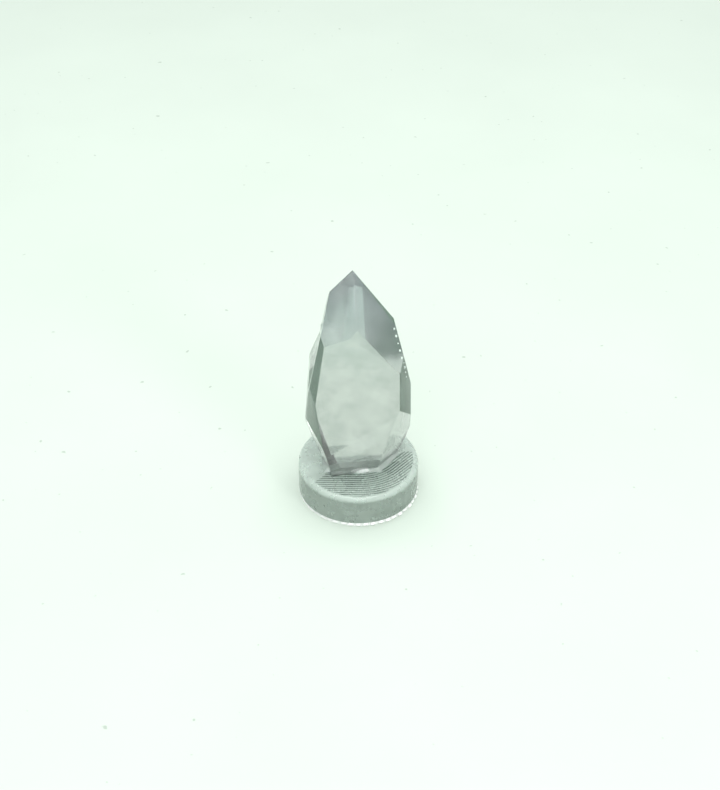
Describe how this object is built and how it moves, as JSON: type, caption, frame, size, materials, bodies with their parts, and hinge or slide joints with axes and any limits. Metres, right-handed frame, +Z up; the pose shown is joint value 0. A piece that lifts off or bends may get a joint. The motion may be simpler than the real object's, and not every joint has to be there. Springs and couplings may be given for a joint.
{
  "type": "hood ornament",
  "caption": "Clear faceted crystal point bonded into a round translucent foot with a stick-down pad, standing upright as a hood ornament.",
  "frame": {"origin": "centre of the underside that the ornament stands on", "axes": "+Z up towards the crystal's tip, +Y towards the back, +X to the right seen from the front"},
  "size_m": [0.03, 0.03, 0.064],
  "materials": {
    "clear_resin": "clear cast resin with a faint grey-green tint, flat polished faces",
    "frosted_resin": "translucent resin with fine layer lines on its sloping top",
    "clear_adhesive": "cured clear adhesive",
    "acrylic_foam": "clear double-sided acrylic pad, cut edge slightly ragged",
    "liner_film": "thin clear release film"
  },
  "bodies": {
    "root": {"crystal_point": "clear_resin", "foot_disc": "frosted_resin", "bond_film": "clear_adhesive", "bond_bead": "clear_adhesive", "mounting_pad": "acrylic_foam", "release_liner": "liner_film"}
  },
  "joints": []
}
